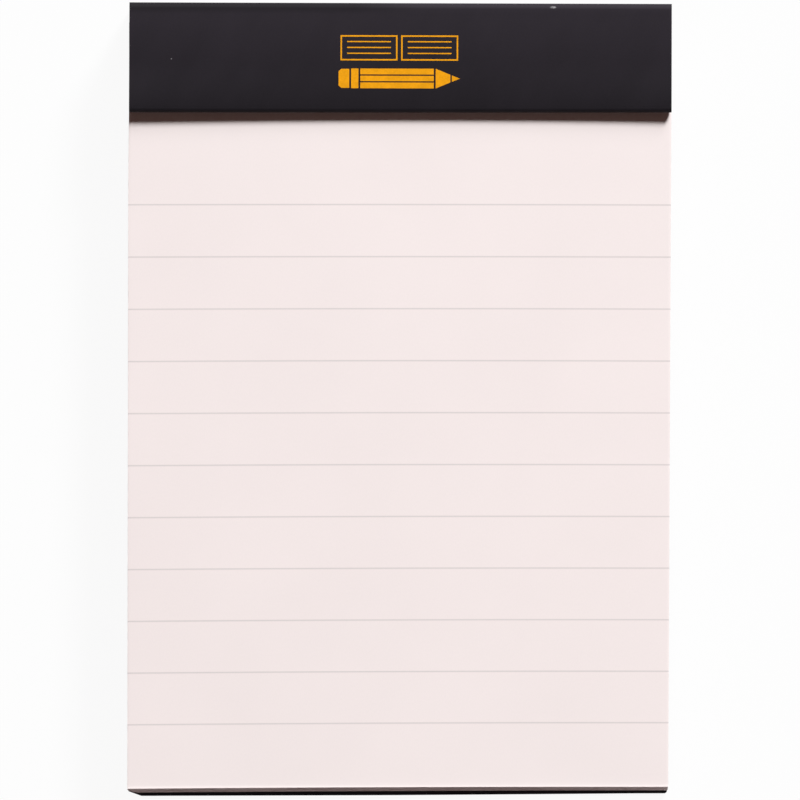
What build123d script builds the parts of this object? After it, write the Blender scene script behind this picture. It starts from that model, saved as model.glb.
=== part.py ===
from build123d import *
import os

# Small writing pad, stapled at its head, with the card cover folded back behind it
# It lies on its back: width along X, head towards +Y, ruled side up, all in millimetres

# Sheets of paper
sheet_width = 74.0
sheet_length = 105.0
sheet_thickness = 0.1
sheet_count = 80
foot_slant = 0.5  # how much longer the trimmed pad is at its left edge than at its right
head_round = 0.3  # the outer edges at the head are pressed round under the card

# Backing board
board_thickness = 1.0
board_chip_width = 1.0  # bumped corner at the left of the foot
board_chip_length = 0.5

# Card cover
card_thickness = 0.35
side_inset = 0.13  # the cover is narrower than the sheets by this on each side
foot_overhang = 0.41  # the cover runs past the sheets by this at the foot
cover_chip_width = 1.8
cover_chip_length = 0.85
corner_radius = 0.4
crease_ease = 0.05  # the card turns this much tighter than the edges that it covers
head_crease_radius = 0.9  # outside of the looser second turn over the head
head_slack = 1.25  # room between the two layers of card at the head
panel_gap = 0.1  # room between the folded-back flap and the back panel

# Band over the head of the sheets, from the outermost card at the head to the fold
band_height = 14.95
fold_gap = 0.35  # room inside the fold
fold_lift = 0.42  # how far the fold springs up at its two ends
lift_run = 7.0  # length over which it rises

# Staples
wire_width = 0.7
wire_thickness = 0.45
wire_clearance = 0.05
crown_length = 12.0
clinch_length = 4.5
staple_pitch = 37.0
staple_setback = 5.5  # from the head of the sheets

# Crease on which the flap swings
hinge_clearance = 0.05

# Heights, from the table up
crease_radius = head_round - crease_ease + card_thickness
flap_top = card_thickness
back_bottom = flap_top + panel_gap
board_bottom = back_bottom + card_thickness
block_bottom = board_bottom + board_thickness
block_top = block_bottom + sheet_count * sheet_thickness
lower_band_top = block_top + card_thickness
upper_band_bottom = lower_band_top + fold_gap
upper_band_top = upper_band_bottom + card_thickness

# Places along the pad, with the whole length centred on the origin
cover_width = sheet_width - 2 * side_inset
slant_slope = foot_slant / sheet_width
chip_end = cover_chip_width - cover_width / 2
lowest_foot = sheet_length + foot_overhang - slant_slope * chip_end
overall_length = 2 * card_thickness + head_slack + lowest_foot
head_face = overall_length / 2
outer_turn_inside = head_face - card_thickness
inner_turn_outside = outer_turn_inside - head_slack
block_head = inner_turn_outside - card_thickness
block_foot = block_head - sheet_length
fold_edge = head_face - band_height
lift_start = fold_edge + lift_run
staple_row = block_head - staple_setback

# The flap is what is left of a front that reaches the foot when the pad is closed
hinge_y = head_face - card_thickness / 2
hinge_z = card_thickness / 2
front_length = block_head - block_foot + foot_overhang
turn_height = upper_band_top
flap_length = front_length - 2 * band_height - turn_height
flap_foot = hinge_y - flap_length

os.makedirs("parts", exist_ok=True)


def foot_at(x, overhang=0.0):
    """Y of the trimmed foot at a place across the pad."""
    return block_foot - overhang + slant_slope * x


def trimmed_outline(width, overhang, head):
    """Plan of a layer that was trimmed along the slanted foot of the pad."""
    left = -width / 2
    right = width / 2
    with BuildLine() as outline:
        Polyline(
            (left, head),
            (left, foot_at(left, overhang)),
            (right, foot_at(right, overhang)),
            (right, head),
            close=True,
        )
    make_face(outline.edges())


def bump_left_corner(outline, chip_width, chip_length):
    """Take off the left corner of the foot, as the worn pad has it."""
    foot = outline.edges().sort_by(Axis.Y)[0]
    corner = outline.vertices().group_by(Axis.Y)[0].sort_by(Axis.X)[0]
    chamfer(corner, length=chip_width, length2=chip_length, reference=foot)


def fold_section(lift):
    """Section of the band's doubled card from the start of its rise to the fold."""
    inner_radius = fold_gap / 2
    outer_radius = inner_radius + card_thickness
    turn = fold_edge + outer_radius
    middle = lower_band_top + inner_radius + lift
    along = (1, 0)
    with BuildLine() as section:
        Spline((turn, middle - outer_radius), (lift_start, block_top), tangents=(along, along))
        Line((lift_start, block_top), (lift_start, lower_band_top))
        Spline((turn, middle - inner_radius), (lift_start, lower_band_top), tangents=(along, along))
        ThreePointArc(
            (turn, middle - inner_radius),
            (turn - inner_radius, middle),
            (turn, middle + inner_radius),
        )
        Spline((turn, middle + inner_radius), (lift_start, upper_band_bottom), tangents=(along, along))
        Line((lift_start, upper_band_bottom), (lift_start, upper_band_top))
        Spline((turn, middle + outer_radius), (lift_start, upper_band_top), tangents=(along, along))
        ThreePointArc(
            (turn, middle + outer_radius),
            (turn - outer_radius, middle),
            (turn, middle - outer_radius),
        )
    make_face(section.edges())


# Stack of sheets, with the row of staples sunk into its top
channel_depth = wire_thickness + 2 * wire_clearance
channel_width = wire_width + 2 * wire_clearance
crown_channel_length = crown_length + channel_depth
clinch_channel_length = clinch_length + wire_clearance
staple_places = {"staple_left": -staple_pitch / 2, "staple_right": staple_pitch / 2}
leg_places = [
    (place + side * crown_length / 2, staple_row)
    for place in staple_places.values()
    for side in (-1, 1)
]

with BuildPart() as page_block:
    with BuildSketch(Plane.XY.offset(block_bottom)):
        trimmed_outline(sheet_width, 0.0, block_head)
    extrude(amount=block_top - block_bottom)
    head_edges = page_block.edges().group_by(Axis.Y)[-1]
    fillet(head_edges.sort_by(Axis.Z)[-1], radius=head_round)
    with BuildSketch(Plane.XY.offset(block_top)):
        with Locations(*[(place, staple_row) for place in staple_places.values()]):
            Rectangle(crown_channel_length, channel_width)
    extrude(amount=-channel_depth, mode=Mode.SUBTRACT)
    with BuildSketch(Plane.XY.offset(block_bottom)):
        with Locations(*leg_places):
            Rectangle(channel_depth, channel_width)
    extrude(amount=block_top - block_bottom, mode=Mode.SUBTRACT)

page_block.part.label = "page_block"
export_step(page_block.part, "parts/page_block.step")


# Grey board, with room on its back for the clinched legs
with BuildPart() as backing_board:
    with BuildSketch(Plane.XY.offset(board_bottom)) as board_outline:
        trimmed_outline(sheet_width, 0.0, block_head)
        bump_left_corner(board_outline, board_chip_width, board_chip_length)
    extrude(amount=board_thickness)
    head_edges = backing_board.edges().group_by(Axis.Y)[-1]
    fillet(head_edges.sort_by(Axis.Z)[0], radius=head_round)
    with BuildSketch(Plane.XY.offset(board_bottom)):
        for index, leg in enumerate(leg_places):
            inwards = Align.MIN if index % 2 == 0 else Align.MAX
            with Locations(leg):
                Rectangle(clinch_channel_length, channel_width, align=(inwards, Align.CENTER))
    extrude(amount=channel_depth, mode=Mode.SUBTRACT)
    with BuildSketch(Plane.XY.offset(board_bottom)):
        with Locations(*leg_places):
            Rectangle(channel_depth, channel_width)
    extrude(amount=board_thickness, mode=Mode.SUBTRACT)

backing_board.part.label = "backing_board"
export_step(backing_board.part, "parts/backing_board.step")


# Flat wire staples, driven flush with the top sheet and clinched inwards behind the board
crown_z = block_top - wire_clearance - wire_thickness / 2
clinch_z = board_bottom + wire_clearance + wire_thickness / 2
wire_bend = wire_thickness / 2 + 3 * wire_clearance  # clears the square mouth of a leg hole
wire_edge = wire_thickness / 5  # the rounded edges of the flat wire

for name, place in staple_places.items():
    left_leg = place - crown_length / 2
    right_leg = place + crown_length / 2
    with BuildPart() as staple:
        with BuildLine() as wire:
            FilletPolyline(
                (left_leg + clinch_length, staple_row, clinch_z),
                (left_leg, staple_row, clinch_z),
                (left_leg, staple_row, crown_z),
                (right_leg, staple_row, crown_z),
                (right_leg, staple_row, clinch_z),
                (right_leg - clinch_length, staple_row, clinch_z),
                radius=wire_bend,
            )
        with BuildSketch(Plane(origin=wire.line @ 0, x_dir=(0, 1, 0), z_dir=wire.line % 0)) as wire_end:
            Rectangle(wire_width, wire_thickness)
            chamfer(wire_end.vertices(), length=wire_edge)
        sweep()
    staple.part.label = name
    export_step(staple.part, f"parts/{name}.step")


# Fixed part of the folded card: back panel, turn over the head, doubled band, second turn
fold_sections = 5
back_head = inner_turn_outside - 2 * crease_radius

with BuildPart() as cover:
    with BuildSketch(Plane.XY.offset(back_bottom)) as back_outline:
        trimmed_outline(cover_width, foot_overhang, back_head)
        right_foot = back_outline.vertices().group_by(Axis.X)[-1].sort_by(Axis.Y)[0]
        fillet(right_foot, radius=corner_radius)
        bump_left_corner(back_outline, cover_chip_width, cover_chip_length)
    extrude(amount=card_thickness)
    with BuildSketch(Plane.YZ):
        with BuildLine():
            FilletPolyline(
                (back_head, back_bottom),
                (inner_turn_outside, back_bottom),
                (inner_turn_outside, lower_band_top),
                (lift_start, lower_band_top),
                radius=crease_radius,
            )
            offset(amount=card_thickness, side=Side.LEFT)
        make_face()
    extrude(amount=cover_width / 2, both=True)
    for index in range(fold_sections):
        across = 2 * index / (fold_sections - 1) - 1
        with BuildSketch(Plane.YZ.offset(across * cover_width / 2)):
            fold_section(fold_lift * abs(across) ** 3)
    loft()
    with BuildSketch(Plane.YZ):
        with BuildLine():
            FilletPolyline(
                (head_face, flap_top + hinge_clearance),
                (head_face, upper_band_top),
                (lift_start, upper_band_top),
                radius=head_crease_radius,
            )
            offset(amount=card_thickness, side=Side.LEFT)
        make_face()
    extrude(amount=cover_width / 2, both=True)

cover.part.label = "cover"
export_step(cover.part, "parts/cover.step")


# Free end of the card, with a rounded head edge that turns on the crease
with BuildPart() as cover_flap:
    with BuildSketch(Plane.YZ):
        with BuildLine():
            Polyline((hinge_y, 0), (flap_foot, 0), (flap_foot, flap_top), (hinge_y, flap_top))
            ThreePointArc((hinge_y, flap_top), (head_face, hinge_z), (hinge_y, 0))
        make_face()
    extrude(amount=cover_width / 2, both=True)
    free_corners = cover_flap.edges().filter_by(Axis.Z).group_by(Axis.Y)[0]
    fillet(free_corners, radius=corner_radius)

cover_flap.part.label = "cover_flap"
export_step(cover_flap.part, "parts/cover_flap.step")
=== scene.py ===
import math
import random

import bmesh
import bpy
from bpy.props import FloatProperty, FloatVectorProperty, IntProperty, PointerProperty
from mathutils import Euler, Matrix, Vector


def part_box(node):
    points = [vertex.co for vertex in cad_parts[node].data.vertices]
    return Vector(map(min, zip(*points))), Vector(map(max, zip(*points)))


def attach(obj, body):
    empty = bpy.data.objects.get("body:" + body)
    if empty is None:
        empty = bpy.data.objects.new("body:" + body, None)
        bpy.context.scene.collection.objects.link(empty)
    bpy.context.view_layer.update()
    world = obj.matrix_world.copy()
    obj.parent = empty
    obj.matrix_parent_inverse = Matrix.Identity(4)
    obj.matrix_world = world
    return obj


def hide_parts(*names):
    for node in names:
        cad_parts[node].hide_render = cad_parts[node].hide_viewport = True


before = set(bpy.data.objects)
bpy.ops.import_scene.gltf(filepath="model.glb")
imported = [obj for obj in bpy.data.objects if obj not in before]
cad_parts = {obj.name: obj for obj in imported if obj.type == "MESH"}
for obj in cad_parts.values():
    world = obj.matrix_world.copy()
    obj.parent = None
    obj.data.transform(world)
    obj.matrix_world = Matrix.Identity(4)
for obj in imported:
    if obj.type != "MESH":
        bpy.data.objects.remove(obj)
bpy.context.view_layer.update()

bl_info = {
    "name": "Stapled notepad",
    "version": (1, 0, 0),
    "blender": (4, 5, 0),
    "location": "3D View > Sidebar > Notepad",
    "description": "Lays out a pocket pad of ruled sheets with its card cover folded back",
    "category": "Add Mesh",
}

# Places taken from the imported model, in metres
MM = 0.001
block_low, block_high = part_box("page_block")
board_low, board_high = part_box("backing_board")
cover_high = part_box("cover")[1]
flap_low, flap_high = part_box("cover_flap")
card_thickness = flap_high.z - flap_low.z
block_head = block_high.y
block_top = block_high.z
head_face = cover_high.y
sheet_half_width = block_high.x
cover_half_width = cover_high.x
inner_turn_outside = block_head + card_thickness

# Small forms of the worn and folded pad, in metres
head_round = 0.3 * MM  # the edges at the head are pressed round under the card
inner_crease_radius = 0.6 * MM  # outside of the first turn over the head
outer_crease_radius = 0.9 * MM  # outside of the looser second turn
flap_clearance = 0.05 * MM  # from the second turn down to the flap
bow_run = 45 * MM  # from the head to where the sheets' bow is full
draw_run = 24 * MM  # from the head to where the left edge runs straight again
head_taper = 0.1  # share of the side taper that is there at the head already
sheet_chip_width, sheet_chip_length = 0.8 * MM, 0.3 * MM  # worn left corner of the foot
board_chip_width, board_chip_length = 1.0 * MM, 0.5 * MM
card_chip_width, card_chip_length = 1.8 * MM, 0.66 * MM
card_corner = 0.4 * MM  # radius of the card's right corner at the foot
card_belly = 0.1 * MM  # the back panel's foot hangs lower in the middle
card_lean = 0.11 * MM  # the foot rises towards the right
board_lean = 0.08 * MM
band_spread = 0.02 * MM  # the band is wider than the back panel by this on each side
top_sheet_drop = 0.006 * MM  # the top sheet lies this far below the block's top
foot_curl, foot_curl_run = 0.04 * MM, 0.45 * MM  # its foot curls up
side_press, side_press_run = 0.018 * MM, 0.25 * MM  # its sides are pressed down by the cut


class SheetSettings(bpy.types.PropertyGroup):
    count: IntProperty(name="Sheets", description="Number of sheets", default=80, min=2)
    foot_slant: FloatProperty(
        name="Foot slant",
        description="How much longer the trimmed sheets are at the left than at the right",
        default=0.5 * MM,
        unit="LENGTH",
    )
    side_taper: FloatProperty(
        name="Side taper",
        description="How much the sheets narrow on each side towards the foot",
        default=0.3 * MM,
        unit="LENGTH",
    )
    head_draw: FloatProperty(
        name="Head draw",
        description="How far the left edge of the sheets is drawn in towards the staples",
        default=0.22 * MM,
        unit="LENGTH",
    )
    foot_bow: FloatProperty(
        name="Foot bow",
        description="How far the middle of the foot, and of the rules, bows towards the head",
        default=0.095 * MM,
        unit="LENGTH",
    )
    rule_count: IntProperty(name="Rules", description="Number of printed rules", default=11, min=1)
    rule_start: FloatProperty(
        name="First rule",
        description="Distance of the first rule from the head of the sheet",
        default=25.6 * MM,
        unit="LENGTH",
    )
    rule_pitch: FloatProperty(
        name="Rule pitch",
        description="Distance from one rule to the next",
        default=7.07 * MM,
        unit="LENGTH",
    )
    rule_skew: FloatProperty(
        name="Rule skew",
        description="How much higher the rules are printed at the right than at the left",
        default=0.075 * MM,
        unit="LENGTH",
    )
    rule_drift: FloatProperty(
        name="Rule drift",
        description="How far the middle rules are printed towards the foot",
        default=0.16 * MM,
        unit="LENGTH",
    )
    rule_width: FloatProperty(
        name="Rule width", description="Width of a printed rule", default=0.2 * MM, unit="LENGTH"
    )
    paper_colour: FloatVectorProperty(
        name="Paper",
        description="Colour of the writing paper",
        subtype="COLOR",
        size=3,
        default=(0.905, 0.815, 0.800),
        min=0.0,
        max=1.0,
    )
    rule_colour: FloatVectorProperty(
        name="Rule ink",
        description="Colour of the printed rules",
        subtype="COLOR",
        size=3,
        default=(0.735, 0.665, 0.655),
        min=0.0,
        max=1.0,
    )


class CoverSettings(bpy.types.PropertyGroup):
    band_height: FloatProperty(
        name="Band height",
        description="From the head of the pad to the fold",
        default=14.99 * MM,
        unit="LENGTH",
    )
    fold_skew: FloatProperty(
        name="Fold skew",
        description="How much further down the sheet the fold lies at the left than at the right",
        default=0.2 * MM,
        unit="LENGTH",
    )
    fold_gap: FloatProperty(
        name="Fold gap", description="Room inside the fold", default=0.35 * MM, unit="LENGTH"
    )
    lift_run: FloatProperty(
        name="Lift run",
        description="Length over which the fold springs up at its ends",
        default=7.0 * MM,
        unit="LENGTH",
    )
    middle_lift: FloatProperty(
        name="Middle lift",
        description="How far the fold springs up in the middle of the pad",
        default=0.13 * MM,
        unit="LENGTH",
    )
    camber: FloatProperty(
        name="Camber",
        description="How far the band bows up between the head and the fold",
        default=0.18 * MM,
        unit="LENGTH",
    )
    band_shift: FloatProperty(
        name="Band shift",
        description="How far the band sits to the right of the flap behind it",
        default=0.055 * MM,
        unit="LENGTH",
    )
    foot_overhang: FloatProperty(
        name="Foot overhang",
        description="How far the back panel runs past the sheets",
        default=0.41 * MM,
        unit="LENGTH",
    )
    card_colour: FloatVectorProperty(
        name="Card",
        description="Colour of the coated card",
        subtype="COLOR",
        size=3,
        default=(0.0155, 0.0125, 0.0165),
        min=0.0,
        max=1.0,
    )
    print_colour: FloatVectorProperty(
        name="Print",
        description="Colour of the printed device on the band",
        subtype="COLOR",
        size=3,
        default=(0.885, 0.365, 0.005),
        min=0.0,
        max=1.0,
    )


class BackingSettings(bpy.types.PropertyGroup):
    board_colour: FloatVectorProperty(
        name="Board",
        description="Colour of the raw grey board",
        subtype="COLOR",
        size=3,
        default=(0.36, 0.33, 0.30),
        min=0.0,
        max=1.0,
    )
    wire_colour: FloatVectorProperty(
        name="Wire",
        description="Colour of the staple wire",
        subtype="COLOR",
        size=3,
        default=(0.62, 0.62, 0.63),
        min=0.0,
        max=1.0,
    )


class StageSettings(bpy.types.PropertyGroup):
    camera_tilt: FloatProperty(
        name="Camera tilt",
        description="How far the view leans towards the foot",
        default=math.radians(4.6),
        subtype="ANGLE",
    )
    camera_roll: FloatProperty(
        name="Camera roll",
        description="Turn of the picture about its middle",
        default=math.radians(0.18),
        subtype="ANGLE",
    )
    camera_distance: FloatProperty(
        name="Camera distance",
        description="From the ruled face to the camera",
        default=3.0195,
        unit="LENGTH",
    )
    key_level: FloatProperty(
        name="Key level",
        description="Share of the light on the page that comes from the key lamp",
        default=0.722,
        subtype="FACTOR",
    )
    soft_level: FloatProperty(
        name="Soft level",
        description="Share of the light on the page that comes from the wide lamp",
        default=0.278,
        subtype="FACTOR",
    )
    fill_level: FloatProperty(
        name="Fill level",
        description="Light on the page from the low lamp that fills the foot of the pad",
        default=0.0155,
        subtype="FACTOR",
    )
    room_level: FloatProperty(
        name="Room level",
        description="Brightness of the room around the pad",
        default=0.042,
        subtype="FACTOR",
    )


def new_piece(name, points, faces, materials, face_materials=None, sharp_angle=30.0):
    """A mesh object from its points and faces, smooth except over sharp edges."""
    mesh = bpy.data.meshes.new(name)
    mesh.from_pydata(points, [], faces)
    for material in materials:
        mesh.materials.append(material)
    if face_materials:
        mesh.polygons.foreach_set("material_index", face_materials)
    mesh.polygons.foreach_set("use_smooth", [True] * len(mesh.polygons))
    mesh.set_sharp_from_angle(angle=math.radians(sharp_angle))
    mesh.update()
    piece = bpy.data.objects.new(name, mesh)
    bpy.context.scene.collection.objects.link(piece)
    return piece


def new_finish(name, roughness, specular=0.3, metallic=0.0):
    """A material with its shader, and the pad's own coordinates to drive its texture."""
    material = bpy.data.materials.new(name)
    material.use_nodes = True
    nodes = material.node_tree.nodes
    shader = nodes["Principled BSDF"]
    shader.inputs["Roughness"].default_value = roughness
    shader.inputs["Specular IOR Level"].default_value = specular
    shader.inputs["Metallic"].default_value = metallic
    place = nodes.new("ShaderNodeTexCoord").outputs["Object"]
    return material, shader, place


def stretched(material, place, scale):
    """Coordinates stretched by a scale along each axis."""
    mapping = material.node_tree.nodes.new("ShaderNodeMapping")
    mapping.inputs["Scale"].default_value = scale
    material.node_tree.links.new(place, mapping.inputs["Vector"])
    return mapping.outputs["Vector"]


def turned(material, place):
    """Coordinates turned a little off square, as a hand's strokes are."""
    mapping = material.node_tree.nodes.new("ShaderNodeMapping")
    mapping.inputs["Rotation"].default_value = (0.2, 0.1, math.radians(28))
    material.node_tree.links.new(place, mapping.inputs["Vector"])
    return mapping.outputs["Vector"]


def noise(material, place, scale, detail=2.0, roughness=0.5):
    """Noise with a scale in features per metre."""
    node = material.node_tree.nodes.new("ShaderNodeTexNoise")
    node.inputs["Scale"].default_value = scale
    node.inputs["Detail"].default_value = detail
    node.inputs["Roughness"].default_value = roughness
    material.node_tree.links.new(place, node.inputs["Vector"])
    return node.outputs["Fac"]


def spread(material, value, low, high, to_low, to_high):
    """A value's range mapped to another, with the ends held."""
    node = material.node_tree.nodes.new("ShaderNodeMapRange")
    node.inputs["From Min"].default_value = low
    node.inputs["From Max"].default_value = high
    node.inputs["To Min"].default_value = to_low
    node.inputs["To Max"].default_value = to_high
    material.node_tree.links.new(value, node.inputs["Value"])
    return node.outputs["Result"]


def combine(material, operation, first, second):
    """One value from two, or from a value and a number."""
    node = material.node_tree.nodes.new("ShaderNodeMath")
    node.operation = operation
    for socket, value in zip(node.inputs, (first, second)):
        if isinstance(value, (int, float)):
            socket.default_value = value
        else:
            material.node_tree.links.new(value, socket)
    return node.outputs["Value"]


def tinted(material, factor, colour, other):
    """Colour that goes to another by a factor."""
    node = material.node_tree.nodes.new("ShaderNodeMix")
    node.data_type = "RGBA"
    sockets = [socket for socket in node.inputs if socket.type == "RGBA"]
    for socket, value in zip(sockets, (colour, other)):
        if isinstance(value, bpy.types.NodeSocket):
            material.node_tree.links.new(value, socket)
        else:
            socket.default_value = (*value, 1.0)
    material.node_tree.links.new(factor, node.inputs["Factor"])
    return next(socket for socket in node.outputs if socket.type == "RGBA")


def spot(material, place, middle, reach):
    """A soft-edged oval mark, 1 at its middle and 0 past its reach, both in millimetres."""
    mapping = material.node_tree.nodes.new("ShaderNodeMapping")
    mapping.inputs["Location"].default_value = [-c / r for c, r in zip(middle, reach)]
    mapping.inputs["Scale"].default_value = [1 / (r * MM) for r in reach]
    material.node_tree.links.new(place, mapping.inputs["Vector"])
    size = material.node_tree.nodes.new("ShaderNodeVectorMath")
    size.operation = "LENGTH"
    material.node_tree.links.new(mapping.outputs["Vector"], size.inputs[0])
    return spread(material, size.outputs["Value"], 0.45, 1.0, 1.0, 0.0)


def roughen(material, shader, height, distance, strength):
    """Bump from a height, with its depth in metres."""
    bump = material.node_tree.nodes.new("ShaderNodeBump")
    bump.inputs["Distance"].default_value = distance
    bump.inputs["Strength"].default_value = strength
    material.node_tree.links.new(height, bump.inputs["Height"])
    material.node_tree.links.new(bump.outputs["Normal"], shader.inputs["Normal"])


def shaded(colour, share):
    """A colour made darker or lighter by a share."""
    return tuple(channel * share for channel in colour)


def paper_finish(name, colour):
    """Smooth uncoated writing paper with a fine formation and a little cloudiness."""
    material, shader, place = new_finish(name, 0.85, specular=0.25)
    links = material.node_tree.links
    cloud = noise(material, place, 70.0, detail=3.0)
    along_grain = stretched(material, place, (1.0, 0.55, 1.0))
    fibre = noise(material, along_grain, 5200.0, detail=3.0)
    mottle = combine(material, "ADD", spread(material, cloud, 0.3, 0.7, 0.0, 0.45), fibre)
    level = spread(material, mottle, 0.3, 1.15, 0.0, 1.0)
    links.new(
        tinted(material, level, shaded(colour, 0.975), shaded(colour, 1.012)),
        shader.inputs["Base Color"],
    )
    links.new(spread(material, fibre, 0.3, 0.7, 0.78, 0.92), shader.inputs["Roughness"])
    roughen(material, shader, fibre, 0.004 * MM, 0.35)
    return material


def cut_edge_finish(colour):
    """Edges of the trimmed stack, painted darker than the paper for the shade in the gaps between
    the sheets, each sheet a little lighter or darker than the next.
    """
    material, shader, place = new_finish("trimmed_paper_edges", 0.9, specular=0.15)
    links = material.node_tree.links
    island = material.node_tree.nodes.new("ShaderNodeNewGeometry").outputs["Random Per Island"]
    bundles = stretched(material, place, (25.0, 25.0, 2400.0))
    bundle = noise(material, bundles, 1.0, detail=3.0)
    nicks = stretched(material, place, (600.0, 600.0, 9000.0))
    nick = noise(material, nicks, 1.0, detail=2.0)
    level = combine(material, "ADD", combine(material, "MULTIPLY", island, 0.5), bundle)
    level = combine(material, "ADD", level, combine(material, "MULTIPLY", nick, 0.5))
    # painted shade: the edge tones sit well below the paper's colour, standing in for the shade in
    # the gaps between the sheets
    links.new(
        tinted(
            material,
            spread(material, level, 0.6, 1.35, 0.0, 1.0),
            shaded(colour, 0.60),
            shaded(colour, 0.84),
        ),
        shader.inputs["Base Color"],
    )
    links.new(spread(material, nick, 0.3, 0.7, 0.82, 0.95), shader.inputs["Roughness"])
    roughen(material, shader, nick, 0.02 * MM, 0.6)
    return material


def card_finish(colour):
    """Matte black coated card with a fine tooth and rub marks, painted lighter towards the head of
    the band and darker towards the fold for its sheen and shade, and a crease darker at the left
    and lighter at the right.
    """
    material, shader, place = new_finish("black_coated_card", 0.6, specular=0.08)
    links = material.node_tree.links
    tooth = noise(material, place, 4200.0, detail=3.0)
    cloud = noise(material, place, 130.0, detail=4.0)
    strokes = stretched(material, turned(material, place), (260.0, 110.0, 180.0))
    rub = noise(material, strokes, 1.0, detail=4.0)
    level = combine(
        material,
        "ADD",
        spread(material, rub, 0.35, 0.70, 0.0, 0.5),
        spread(material, tooth, 0.25, 0.75, 0.0, 0.5),
    )
    scuff = spot(material, place, (20.8, 53.22, 10.85), (0.5, 0.2, 0.35))
    speck = spot(material, place, (-31.1, 46.0, 10.9), (0.1, 0.1, 0.5))
    marks = combine(material, "ADD", scuff, speck)
    fray = combine(material, "MULTIPLY", marks, spread(material, tooth, 0.3, 0.6, 0.3, 1.0))
    split = material.node_tree.nodes.new("ShaderNodeSeparateXYZ")
    links.new(place, split.inputs["Vector"])
    # Painted light: the top of the band is painted lighter towards the head and darker towards the
    # fold, standing in for its sheen and shade
    on_top = spread(material, split.outputs["Z"], 9.9 * MM, 10.6 * MM, 0.0, 1.0)
    painted_head_light = spread(material, split.outputs["Y"], 39 * MM, 51 * MM, 0.0, 1.0)
    painted_head_light = combine(material, "MULTIPLY", painted_head_light, on_top)
    # painted light: the card's plain tone stays at the fold end as painted shade, and a lighter
    # copy is painted at the head end as painted sheen
    plain_card_tone = tinted(material, level, shaded(colour, 0.52), shaded(colour, 0.74))
    painted_lit_card = tinted(material, level, shaded(colour, 1.08), shaded(colour, 1.36))
    base = tinted(material, painted_head_light, plain_card_tone, painted_lit_card)
    # the crease is made darker at its left and lighter at its right
    crease = spread(material, split.outputs["Y"], 52.2 * MM, 53.2 * MM, 0.0, 1.0)
    crease = combine(material, "MULTIPLY", crease, on_top)
    right = spread(material, split.outputs["X"], -6 * MM, 3 * MM, 0.0, 1.0)
    crease_left_to_right = tinted(material, right, shaded(colour, 0.62), shaded(colour, 1.35))
    base = tinted(material, crease, base, crease_left_to_right)
    links.new(tinted(material, fray, base, (0.30, 0.29, 0.30)), shader.inputs["Base Color"])
    sheen = combine(material, "ADD", combine(material, "MULTIPLY", cloud, 0.5), rub)
    links.new(spread(material, sheen, 0.45, 1.05, 0.66, 0.58), shader.inputs["Roughness"])
    roughen(material, shader, tooth, 0.012 * MM, 0.35)
    return material


def print_finish(colour):
    """Opaque ink on the card, a little thin where the card's tooth stands up."""
    material, shader, place = new_finish("orange_print", 0.55, specular=0.1)
    links = material.node_tree.links
    tooth = noise(material, place, 5200.0, detail=2.0)
    cloud = noise(material, place, 700.0, detail=2.0)
    level = combine(material, "ADD", spread(material, cloud, 0.3, 0.7, 0.0, 0.4), tooth)
    links.new(
        tinted(
            material,
            spread(material, level, 0.45, 0.95, 0.0, 1.0),
            shaded(colour, 0.84),
            shaded(colour, 1.03),
        ),
        shader.inputs["Base Color"],
    )
    links.new(spread(material, tooth, 0.3, 0.7, 0.48, 0.62), shader.inputs["Roughness"])
    roughen(material, shader, tooth, 0.006 * MM, 0.3)
    return material


def greyboard_finish(colour):
    """Raw grey board: pulp flecks, felted faces and plies that show on its edges."""
    material, shader, place = new_finish("raw_greyboard", 0.92, specular=0.2)
    links = material.node_tree.links
    pulp = noise(material, place, 1500.0, detail=4.0, roughness=0.6)
    plies = noise(material, stretched(material, place, (250.0, 250.0, 5500.0)), 1.0, detail=2.0)
    level = combine(material, "ADD", combine(material, "MULTIPLY", plies, 0.6), pulp)
    base = tinted(
        material,
        spread(material, level, 0.5, 1.1, 0.0, 1.0),
        shaded(colour, 0.72),
        shaded(colour, 1.15),
    )
    fleck = spread(material, noise(material, place, 2600.0, detail=1.0), 0.66, 0.74, 0.0, 1.0)
    links.new(tinted(material, fleck, base, shaded(colour, 0.35)), shader.inputs["Base Color"])
    links.new(spread(material, pulp, 0.3, 0.7, 0.84, 0.98), shader.inputs["Roughness"])
    roughen(material, shader, level, 0.03 * MM, 0.6)
    return material


def wire_finish(colour):
    """Bright drawn wire with fine draw marks along its length."""
    material, shader, place = new_finish("drawn_staple_wire", 0.3, metallic=1.0)
    links = material.node_tree.links
    draw = noise(material, stretched(material, place, (300.0, 9000.0, 9000.0)), 1.0, detail=3.0)
    links.new(
        tinted(
            material,
            spread(material, draw, 0.3, 0.7, 0.0, 1.0),
            shaded(colour, 0.82),
            shaded(colour, 1.1),
        ),
        shader.inputs["Base Color"],
    )
    links.new(spread(material, draw, 0.3, 0.7, 0.22, 0.42), shader.inputs["Roughness"])
    roughen(material, shader, draw, 0.004 * MM, 0.4)
    return material


def eased(share):
    """A share from 0 to 1 that leaves and arrives flat."""
    return share * share * (3 - 2 * share)


def held(share):
    """A share kept between 0 and 1."""
    return min(1.0, max(0.0, share))


def middle_length(low, settings):
    """From the head to the slanted foot at the middle, for a layer with a lowest corner."""
    return block_head - (low.y + settings.foot_slant / 2)


def sheet_place(x, from_head, settings):
    """Y of a line across the sheet that keeps in step with the slanted foot."""
    lean = settings.foot_slant * x / (2 * sheet_half_width)
    bow = settings.foot_bow * (1 - (x / sheet_half_width) ** 2)
    bow *= min(1.0, from_head / bow_run)
    return block_head - from_head * (1 - lean / middle_length(block_low, settings)) + bow


def sheet_half(from_head, settings):
    """Half the width of the sheets at a distance from the head."""
    share = from_head / (block_head - block_low.y)
    return sheet_half_width - settings.side_taper * (head_taper + (1 - head_taper) * share)


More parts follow.
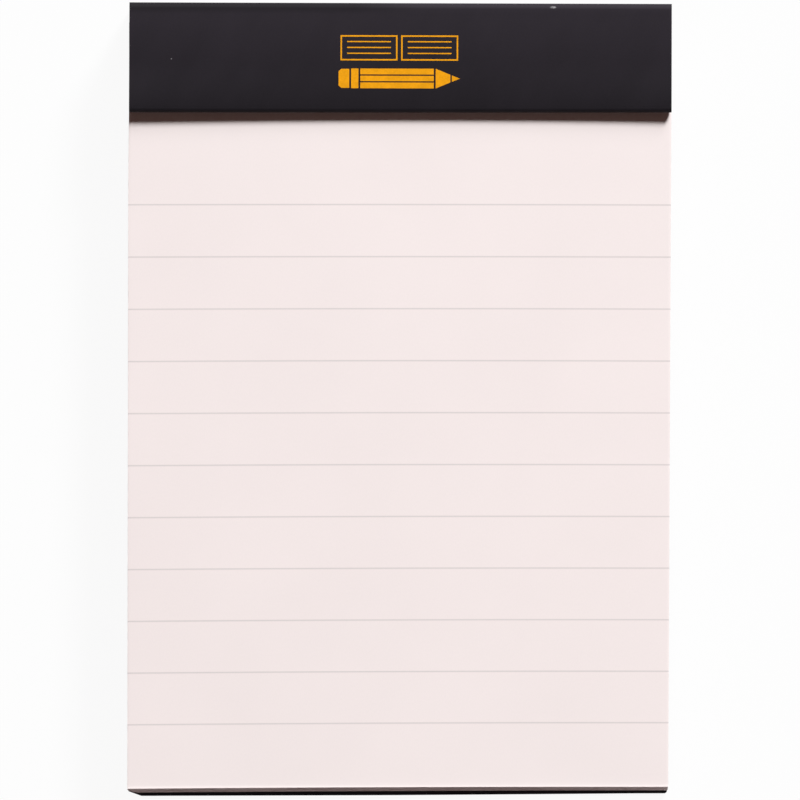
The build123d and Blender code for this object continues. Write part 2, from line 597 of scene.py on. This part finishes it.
def drawn_in(from_head, settings):
    """How far the left edge of the sheets is drawn in towards the staples."""
    return settings.head_draw * eased(held(1 - from_head / draw_run))


def round_off(depth, radius):
    """How far a rounded edge stands back at a depth below its face."""
    if depth >= radius:
        return 0.0
    return radius - math.sqrt(radius**2 - (radius - depth) ** 2)


def slab(points, faces, outline, bottom, top):
    """Adds one closed slab with a plan outline to a list of points and faces."""
    start = len(points)
    count = len(outline)
    points.extend((x, y, bottom) for x, y in outline)
    points.extend((x, y, top) for x, y in outline)
    faces.append([start + index for index in reversed(range(count))])
    faces.append([start + count + index for index in range(count)])
    for index in range(count):
        after = (index + 1) % count
        faces.append([start + index, start + after, start + count + after, start + count + index])


def lower_sheet(index, chance, settings):
    """Plan, bottom and top of one of the sheets under the first, a little out of line."""
    length = middle_length(block_low, settings)
    pitch = (block_top - block_low.z) / settings.count
    bottom = block_low.z + index * pitch
    top = bottom + 0.88 * pitch  # a little air between the sheets
    shy = chance.uniform(0.0, 0.03) * MM
    left_in = chance.uniform(0.0, 0.05) * MM
    right_in = chance.uniform(0.0, 0.05) * MM
    shy_head = round_off(block_top - top, head_round)
    wear = max(0.0, 1 - index / (0.6 * settings.count))  # the lowest sheets are worn most
    foot_half = sheet_half(length, settings)
    foot_steps = 14
    outline = []
    for step in range(foot_steps + 1):
        x = (2 * step / foot_steps - 1) * foot_half
        if step == 0:
            x += left_in
        if step == foot_steps:
            x -= right_in
        ragged = chance.uniform(0.0, 0.02) * MM
        y = sheet_place(x, length, settings) + shy + ragged
        if step == 0:
            outline.append((x, y + sheet_chip_length * wear))
            x += sheet_chip_width
        outline.append((x, y))
    for from_head in (0.66 * length, 0.33 * length, 0.0):
        y = block_head - max(from_head, shy_head)
        outline.append((sheet_half(from_head, settings) - right_in, y))
    left_stops = [stop * MM for stop in (4, 8, 12, 16, 20, 24, 60)]
    for from_head in (shy_head, *left_stops):
        x = left_in + drawn_in(from_head, settings) - sheet_half(from_head, settings)
        outline.append((x, block_head - from_head))
    return outline, bottom, top


def sheet_rows(length, settings):
    """Distances of the top sheet's rows from its head, which are printed, and the last of those."""
    rows = [row * MM for row in (0, 1, 3, 6, 10, 14, 16, 18, 20.5, 23)]
    ruled = set()
    for number in range(settings.rule_count):
        share = number / max(1, settings.rule_count - 1)
        middle = settings.rule_start + number * settings.rule_pitch
        middle += settings.rule_drift * 4 * share * (1 - share)
        ruled.add(len(rows))
        rows.append(middle - settings.rule_width / 2)
        rows.append(middle + settings.rule_width / 2)
        if number < settings.rule_count - 1:
            rows.append(middle + settings.rule_pitch / 3)
            rows.append(middle + settings.rule_pitch * 2 / 3)
    last = rows[-1]
    rows += [last + (length - last) * share for share in (0.3, 0.6, 0.85)]
    rows += [length - foot_curl_run * share for share in (1.0, 2 / 3, 1 / 3, 0.0)]
    return rows, ruled, last


class NOTEPAD_OT_sheets(bpy.types.Operator):
    """Lay the stack of single sheets on the board and rule the top one"""

    bl_idname = "notepad.sheets"
    bl_label = "Ruled sheets"

    def execute(self, context):
        settings = context.scene.notepad_sheets
        paper = paper_finish("writing_paper", settings.paper_colour)
        edges = cut_edge_finish(settings.paper_colour)
        chance = random.Random(7)
        points = []
        faces = []
        for index in range(settings.count - 1):
            slab(points, faces, *lower_sheet(index, chance, settings))
        stack = new_piece("sheet_stack", points, faces, [edges])
        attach(stack, "pad")
        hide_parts("page_block")

        ink = paper_finish("rule_ink_on_paper", settings.rule_colour)
        edge_columns = [0.978, 0.990, 0.9955, 0.9985, 1.0]
        columns = [-column for column in reversed(edge_columns)]
        columns += [step / 24 for step in range(-23, 24)]
        columns += edge_columns
        length = middle_length(block_low, settings)
        rows, ruled, last = sheet_rows(length, settings)
        thickness = 0.9 * (block_top - block_low.z) / settings.count
        points = []
        faces = []
        materials = []
        for face in (0, 1):
            for from_head in rows:
                half = sheet_half(from_head, settings)
                foot = max(0.0, from_head - (length - foot_curl_run)) / foot_curl_run
                for column in columns:
                    x = column * half + drawn_in(from_head, settings) * (1 - column) / 2
                    y = sheet_place(x, from_head, settings)
                    if 20 * MM < from_head <= last:  # the printed part is out of square
                        y += settings.rule_skew * x / (2 * sheet_half_width)
                    side = max(0.0, (abs(column) - 1) * half + side_press_run) / side_press_run
                    z = block_top - top_sheet_drop - face * thickness
                    z += foot_curl * foot**2 - side_press * side**2
                    points.append((x, y, z))
        wide = len(columns)
        under = len(rows) * wide
        for row in range(len(rows) - 1):
            for column in range(wide - 1):
                a = row * wide + column
                b = a + 1
                c = a + wide
                d = c + 1
                faces.append([a, c, d, b])
                materials.append(1 if row in ruled else 0)
                faces.append([under + a, under + b, under + d, under + c])
                materials.append(0)
        rim = list(range(wide))
        rim += [row * wide + wide - 1 for row in range(1, len(rows))]
        rim += [(len(rows) - 1) * wide + column for column in reversed(range(wide - 1))]
        rim += [row * wide for row in reversed(range(1, len(rows) - 1))]
        for index, a in enumerate(rim):
            b = rim[(index + 1) % len(rim)]
            faces.append([a, b, under + b, under + a])
            materials.append(0)
        top_sheet = new_piece("top_sheet", points, faces, [paper, ink], materials, 40.0)
        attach(top_sheet, "pad")
        return {"FINISHED"}


def arc(centre, radius, start, end, steps):
    """Points on an arc in the section plane, from one angle to another in degrees."""
    return [
        (
            centre[0] + radius * math.cos(math.radians(start + (end - start) * step / steps)),
            centre[1] + radius * math.sin(math.radians(start + (end - start) * step / steps)),
        )
        for step in range(steps + 1)
    ]


def run(start, end, steps):
    """Points on a straight run, without its ends."""
    return [
        (
            start[0] + (end[0] - start[0]) * step / steps,
            start[1] + (end[1] - start[1]) * step / steps,
        )
        for step in range(1, steps)
    ]


def rise(start, end, steps):
    """Points on a run that leaves and arrives flat, without its ends."""
    made = []
    for step in range(1, steps):
        share = step / steps
        z = start[1] + (end[1] - start[1]) * eased(share)
        made.append((start[0] + (end[0] - start[0]) * share, z))
    return made


def fold_lift(x, settings):
    """How far the fold stands above a flat one at a place across the pad."""
    flat = block_top + 2 * card_thickness + settings.fold_gap
    inside = 0.01 * MM  # keeps the raised ends under the cover's highest point
    ends = cover_high.z - inside - flat - settings.middle_lift
    across = x / cover_half_width
    spring = abs(across) ** 1.5 if across < 0 else 0.8 * across**3
    return settings.middle_lift + ends * spring


def fold_edge(x, settings):
    """Y of the fold at a place across the pad, a little out of square with the head."""
    return head_face - settings.band_height + settings.fold_skew * x / (2 * cover_half_width)


def band_middle(x, y, settings):
    """Height of the middle of the band's upper card, which bows up from head to fold."""
    turn = fold_edge(x, settings) + card_thickness + settings.fold_gap / 2
    start = head_face - outer_crease_radius
    share = held((start - y) / (start - turn))
    reach = settings.lift_run / settings.band_height
    climb = eased(max(0.0, (share - 1 + reach) / reach))
    bow = settings.camber * (1 - 0.4 * abs(x / cover_half_width) ** 3)
    flat = block_top + settings.fold_gap + 1.5 * card_thickness
    return flat + bow * 4 * share * (1 - share) + fold_lift(x, settings) * climb


def card_path(x, settings):
    """Middle line of the folded card at a place across the pad, from its foot to the crease."""
    sheets = bpy.context.scene.notepad_sheets
    half = card_thickness / 2
    back = board_low.z - half
    crease = inner_crease_radius - half
    fold = settings.fold_gap / 2 + half
    head_crease = outer_crease_radius - half
    lift_start = head_face - settings.band_height + settings.lift_run
    lower = block_top + half
    upper = lower + 2 * fold
    lift = fold_lift(x, settings)
    across = x / cover_half_width
    foot = sheet_place(x, middle_length(block_low, sheets), sheets) - settings.foot_overhang
    foot -= card_belly * max(0.0, 1 - 1.3 * across**2)
    foot += card_lean * max(0.0, across)
    foot += card_chip_length * max(0.0, 1 - (x + cover_half_width) / card_chip_width)
    foot += round_off(cover_half_width - x, card_corner)
    inner = inner_turn_outside - half
    outer = head_face - half
    turn = fold_edge(x, settings) + half + fold
    path = [(foot, back)]
    path += run((foot, back), (inner - crease, back), 24)
    path += arc((inner - crease, back + crease), crease, -90, 0, 6)
    path += run((inner, back + crease), (inner, lower - crease), 8)
    path += arc((inner - crease, lower - crease), crease, 0, 90, 6)
    path += run((inner - crease, lower), (lift_start, lower), 6)
    path += [(lift_start, lower)]
    path += rise((lift_start, lower), (turn, lower + lift), 14)
    path += arc((turn, lower + lift + fold), fold, 270, 90, 14)
    last = outer - head_crease
    for step in range(1, 30):
        y = turn + (last - turn) * step / 30
        path.append((y, band_middle(x, y, settings)))
    path += arc((last, upper - head_crease), head_crease, 90, 0, 10)
    bottom = flap_high.z + flap_clearance
    path += run((outer, upper - head_crease), (outer, bottom), 8)
    path += [(outer, bottom)]
    return path


class NOTEPAD_OT_cover(bpy.types.Operator):
    """Fold the card cover round the head, with its doubled band and the flap behind"""

    bl_idname = "notepad.cover"
    bl_label = "Card cover"

    def execute(self, context):
        settings = context.scene.notepad_cover
        card = card_finish(settings.card_colour)
        across = [-1.0, -0.998, -0.993, -0.984, -0.970, -0.952]
        across += [step / 22 for step in range(-20, 21)]
        across += [0.952, 0.970, 0.984, 0.9895, 0.993, 0.996, 0.998, 0.9992, 1.0]
        half = card_thickness / 2
        points = []
        sheets = context.scene.notepad_sheets
        for share in across:
            path = card_path(share * cover_half_width, settings)
            for index, (y, z) in enumerate(path):
                from_head = max(0.0, block_head - y)
                inset = 0.0
                if z < board_low.z:  # the back panel narrows with the sheets
                    inset = 0.75 * (sheet_half_width - sheet_half(from_head, sheets))
                climb = held((z - block_low.z) / (block_top - block_low.z))
                x = share * (cover_half_width - inset + band_spread * climb)
                x += settings.band_shift * climb
                before = path[max(0, index - 1)]
                after = path[min(len(path) - 1, index + 1)]
                along = Vector((after[0] - before[0], after[1] - before[1])).normalized()
                aside = Vector((-along.y, along.x)) * half
                points.append((x, y - aside.x, z - aside.y))
                points.append((x, y + aside.x, z + aside.y))
        long = len(path)
        stride = 2 * long
        faces = []
        for column in range(len(across) - 1):
            for index in range(long - 1):
                a = column * stride + 2 * index
                b = a + 2
                faces.append([a, b, b + stride, a + stride])
                faces.append([a + 1, a + 1 + stride, b + 1 + stride, b + 1])
            a = column * stride
            faces.append([a, a + stride, a + stride + 1, a + 1])
            b = a + 2 * (long - 1)
            faces.append([b, b + 1, b + 1 + stride, b + stride])
        for index in range(long - 1):
            a = 2 * index
            faces.append([a, a + 1, a + 3, a + 2])
            b = (len(across) - 1) * stride + 2 * index
            faces.append([b, b + 2, b + 3, b + 1])
        folded = new_piece("folded_cover", points, faces, [card])
        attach(folded, "pad")
        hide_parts("cover")
        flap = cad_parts["cover_flap"]
        flap.data.materials.clear()
        flap.data.materials.append(card)
        return {"FINISHED"}


def bar(left, low, right, high):
    """Corners of an upright rectangle."""
    return [(left, low), (right, low), (right, high), (left, high)]


def device_shapes():
    """A pencil under an open ruled notebook, as plan outlines in millimetres about the device."""
    shapes = [
        bar(-5.3, -1.35, 4.7, -0.55),
        bar(-5.3, -0.37, 4.7, 0.37),
        bar(-5.3, 0.55, 4.7, 1.35),
        bar(-6.55, -1.35, -5.55, 1.35),
        [(-6.8, -1.3), (-6.8, 1.3), (-7.9, 1.3), (-8.25, 0.95), (-8.25, -0.95), (-7.9, -1.3)],
        [(4.95, -1.35), (6.95, -0.52), (6.95, 0.52), (4.95, 1.35)],
        [(7.15, -0.44), (8.25, 0.0), (7.15, 0.44)],
    ]
    low, high = 2.45, 5.9
    inner, outer = 0.25, 8.0
    stroke = 0.2
    for side in (-1, 1):
        left, right = sorted((side * inner, side * outer))
        shapes.append(bar(left, low, right, low + stroke))
        shapes.append(bar(left, high - stroke, right, high))
        shapes.append(bar(left, low + stroke, left + stroke, high - stroke))
        shapes.append(bar(right - stroke, low + stroke, right, high - stroke))
        for level in (3.35, 4.15, 4.95):
            shapes.append(bar(left + 0.9, level, right - 0.9, level + 0.16))
    return shapes


class NOTEPAD_OT_print(bpy.types.Operator):
    """Print a plain device of a pencil and an open notebook on the band"""

    bl_idname = "notepad.band_print"
    bl_label = "Band print"

    def execute(self, context):
        settings = context.scene.notepad_cover
        ink = print_finish(settings.print_colour)
        device_x = -0.1 * MM
        device_y = head_face - 10.4 * MM
        ink_depth = 0.03 * MM
        ink_proud = 0.012 * MM
        bm = bmesh.new()
        for shape in device_shapes():
            corners = [bm.verts.new((device_x + x * MM, device_y + y * MM, 0)) for x, y in shape]
            bm.faces.new(corners)
        for step in range(1, 16):  # cut into rows that can follow the bowed band
            bmesh.ops.bisect_plane(
                bm,
                geom=bm.verts[:] + bm.edges[:] + bm.faces[:],
                dist=0.001 * MM,
                plane_co=(0, device_y + (0.5 * step - 1.5) * MM, 0),
                plane_no=(0, 1, 0),
            )
        bmesh.ops.recalc_face_normals(bm, faces=bm.faces[:])
        bmesh.ops.solidify(bm, geom=bm.faces[:], thickness=ink_depth)
        middle = max(corner.co.z for corner in bm.verts) - ink_depth / 2
        for corner in bm.verts:
            card_top = band_middle(corner.co.x, corner.co.y, settings) + card_thickness / 2
            sunk = 0.0 if corner.co.z > middle else ink_depth
            corner.co.z = card_top + ink_proud - sunk
        bmesh.ops.recalc_face_normals(bm, faces=bm.faces[:])
        mesh = bpy.data.meshes.new("band_print")
        bm.to_mesh(mesh)
        bm.free()
        mesh.materials.append(ink)
        device = bpy.data.objects.new("band_print", mesh)
        context.scene.collection.objects.link(device)
        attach(device, "pad")
        return {"FINISHED"}


class NOTEPAD_OT_backing(bpy.types.Operator):
    """Cut the grey board with its felted edges and bumped corner, and finish the staples"""

    bl_idname = "notepad.backing"
    bl_label = "Board and staples"

    def execute(self, context):
        settings = context.scene.notepad_backing
        sheets = context.scene.notepad_sheets
        length = middle_length(board_low, sheets)
        thickness = board_high.z - board_low.z
        chance = random.Random(11)
        foot_half = sheet_half(length, sheets)
        side_steps = 40
        plan = []  # each point with the direction into the board
        for step in range(61):
            x = (2 * step / 60 - 1) * foot_half
            y = sheet_place(x, length, sheets) + board_lean * max(0.0, x / foot_half)
            y += board_chip_length * max(0.0, 1 - (x + foot_half) / board_chip_width)
            plan.append((x, y, 0, 1))
        for step in range(1, side_steps):
            from_head = length * (1 - step / side_steps)
            plan.append((sheet_half(from_head, sheets), block_head - from_head, -1, 0))
        plan.append((sheet_half(0.0, sheets), block_head, 0, -1))
        plan.append((-sheet_half(0.0, sheets), block_head, 0, -1))
        for step in range(1, side_steps):
            from_head = length * step / side_steps
            plan.append((-sheet_half(from_head, sheets), block_head - from_head, 1, 0))
        points = []
        levels = (0.0, 0.06, 0.22, 0.4, 0.58, 0.76, 0.94, 1.0)
        for level in levels:
            soft = 0.03 * MM if level in (0.0, 1.0) else 0.0
            pressed = round_off(level * thickness, head_round)
            for x, y, in_x, in_y in plan:
                felted = soft + chance.uniform(0.0, 0.018) * MM
                inwards = pressed if in_y == -1 else felted
                place = (x + in_x * inwards, y + in_y * inwards)
                points.append((*place, board_low.z + level * thickness))
        around = len(plan)
        faces = [list(reversed(range(around)))]
        faces.append([(len(levels) - 1) * around + index for index in range(around)])
        for level in range(len(levels) - 1):
            for index in range(around):
                a = level * around + index
                b = level * around + (index + 1) % around
                faces.append([a, b, b + around, a + around])
        pulp = greyboard_finish(settings.board_colour)
        board = new_piece("grey_board", points, faces, [pulp], sharp_angle=50.0)
        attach(board, "pad")
        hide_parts("backing_board")
        wire = wire_finish(settings.wire_colour)
        for name in ("staple_left", "staple_right"):
            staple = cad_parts[name]
            staple.data.materials.clear()
            staple.data.materials.append(wire)
        return {"FINISHED"}


def stage_white(owner, share):
    """How much plain white the camera, gloss and glass see, for a material or a world."""
    path = owner.node_tree.nodes.new("ShaderNodeLightPath").outputs
    seen = combine(owner, "MAXIMUM", path["Is Camera Ray"], path["Is Glossy Ray"])
    seen = combine(owner, "MAXIMUM", seen, path["Is Transmission Ray"])
    return combine(owner, "MULTIPLY", seen, share)


def add_lamp(name, direction, distance, size, level, colour):
    """A round soft lamp that lights the page to a level from a direction, sizes in metres."""
    data = bpy.data.lights.new(name, "AREA")
    data.shape = "DISK"
    data.size = size
    data.color = colour
    towards = direction.normalized()
    data.energy = level * math.pi**2 * distance**2 / towards.z
    lamp = bpy.data.objects.new(name, data)
    lamp.location = towards * distance + Vector((0, 0, block_top))
    lamp.rotation_euler = direction.to_track_quat("Z", "Y").to_euler()
    bpy.context.scene.collection.objects.link(lamp)


class NOTEPAD_OT_stage(bpy.types.Operator):
    """Set the pad on a white table with a soft key light and the camera above it"""

    bl_idname = "notepad.stage"
    bl_label = "Stage"

    def execute(self, context):
        settings = context.scene.notepad_stage
        scene = context.scene
        scene.view_settings.view_transform = "Standard"
        bm = bmesh.new()
        bmesh.ops.create_grid(bm, x_segments=1, y_segments=1, size=4.0)
        mesh = bpy.data.meshes.new("table_top")
        bm.to_mesh(mesh)
        bm.free()
        table = bpy.data.objects.new("table_top", mesh)
        table.location.z = -0.02 * MM  # clear of the flap's underside
        scene.collection.objects.link(table)
        surface = bpy.data.materials.new("white_table")
        surface.use_nodes = True
        tree = surface.node_tree
        shader = tree.nodes["Principled BSDF"]
        shader.inputs["Base Color"].default_value = (0.7, 0.7, 0.7, 1.0)
        shader.inputs["Roughness"].default_value = 0.8
        glow = tree.nodes.new("ShaderNodeEmission")
        mix = tree.nodes.new("ShaderNodeMixShader")
        shadow_share = 0.06  # what is left for the pad's shadow on the table
        tree.links.new(stage_white(surface, 1.0 - shadow_share), mix.inputs["Fac"])
        tree.links.new(shader.outputs[0], mix.inputs[1])
        tree.links.new(glow.outputs[0], mix.inputs[2])
        tree.links.new(mix.outputs[0], tree.nodes["Material Output"].inputs["Surface"])
        mesh.materials.append(surface)

        world = bpy.data.worlds.new("white_room")
        scene.world = world
        world.use_nodes = True
        room = world.node_tree
        air = room.nodes["Background"]  # a warm room tints the shadows brown
        air.inputs["Color"].default_value = (1.0, 0.49, 0.35, 1.0)
        air.inputs["Strength"].default_value = settings.room_level
        white = room.nodes.new("ShaderNodeBackground")
        white.inputs["Color"].default_value = (1.0, 1.0, 1.0, 1.0)
        mix = room.nodes.new("ShaderNodeMixShader")
        room.links.new(stage_white(world, 1.0), mix.inputs["Fac"])
        room.links.new(air.outputs[0], mix.inputs[1])
        room.links.new(white.outputs[0], mix.inputs[2])
        room.links.new(mix.outputs[0], room.nodes["World Output"].inputs["Surface"])

        daylight = (0.97, 0.99, 1.0)
        warm = (1.0, 0.78, 0.81)
        for name, towards, distance, size, level, colour in (
            ("key_lamp", (0.411, 0.735, 0.545), 3.9, 0.99, settings.key_level, daylight),
            ("soft_lamp", (0.32, 0.79, 0.42), 3.9, 1.9, settings.soft_level, daylight),
            ("foot_fill", (-0.2, -0.97, 0.08), 2.0, 0.6, settings.fill_level, warm),
        ):
            add_lamp(name, Vector(towards), distance, size, level, colour)

        camera = bpy.data.cameras.new("camera")
        camera.lens = 1000.0
        camera.sensor_width = 36.0
        camera.clip_start = 0.1
        camera.clip_end = 20.0
        view = bpy.data.objects.new("camera", camera)
        target = Vector((0.14 * MM, -0.362 * MM, block_top))
        turn = Euler((settings.camera_tilt, 0.0, 0.0)).to_quaternion()
        roll = Euler((0.0, 0.0, settings.camera_roll)).to_quaternion()
        view.rotation_mode = "QUATERNION"
        view.rotation_quaternion = turn @ roll
        view.location = target + turn @ Vector((0.0, 0.0, settings.camera_distance))
        scene.collection.objects.link(view)
        scene.camera = view
        return {"FINISHED"}


class NOTEPAD_PT_panel(bpy.types.Panel):
    """The pad's pieces and their settings"""

    bl_idname = "NOTEPAD_PT_panel"
    bl_label = "Notepad"
    bl_space_type = "VIEW_3D"
    bl_region_type = "UI"
    bl_category = "Notepad"

    def draw(self, context):
        for group, operators in (
            ("notepad_sheets", ("notepad.sheets",)),
            ("notepad_cover", ("notepad.cover", "notepad.band_print")),
            ("notepad_backing", ("notepad.backing",)),
            ("notepad_stage", ("notepad.stage",)),
        ):
            box = self.layout.box()
            settings = getattr(context.scene, group)
            for name in settings.bl_rna.properties.keys():
                if name not in {"rna_type", "name"}:
                    box.prop(settings, name)
            for operator in operators:
                box.operator(operator)


groups = {
    "notepad_sheets": SheetSettings,
    "notepad_cover": CoverSettings,
    "notepad_backing": BackingSettings,
    "notepad_stage": StageSettings,
}
classes = (
    *groups.values(),
    NOTEPAD_OT_sheets,
    NOTEPAD_OT_cover,
    NOTEPAD_OT_print,
    NOTEPAD_OT_backing,
    NOTEPAD_OT_stage,
    NOTEPAD_PT_panel,
)


def register():
    for cls in classes:
        bpy.utils.register_class(cls)
    for name, group in groups.items():
        setattr(bpy.types.Scene, name, PointerProperty(type=group))


def unregister():
    for name in groups:
        delattr(bpy.types.Scene, name)
    for cls in reversed(classes):
        bpy.utils.unregister_class(cls)


def main():
    register()
    bpy.ops.notepad.sheets()
    bpy.ops.notepad.cover()
    bpy.ops.notepad.band_print()
    bpy.ops.notepad.backing()
    bpy.ops.notepad.stage()


if __name__ == "__main__":
    main()
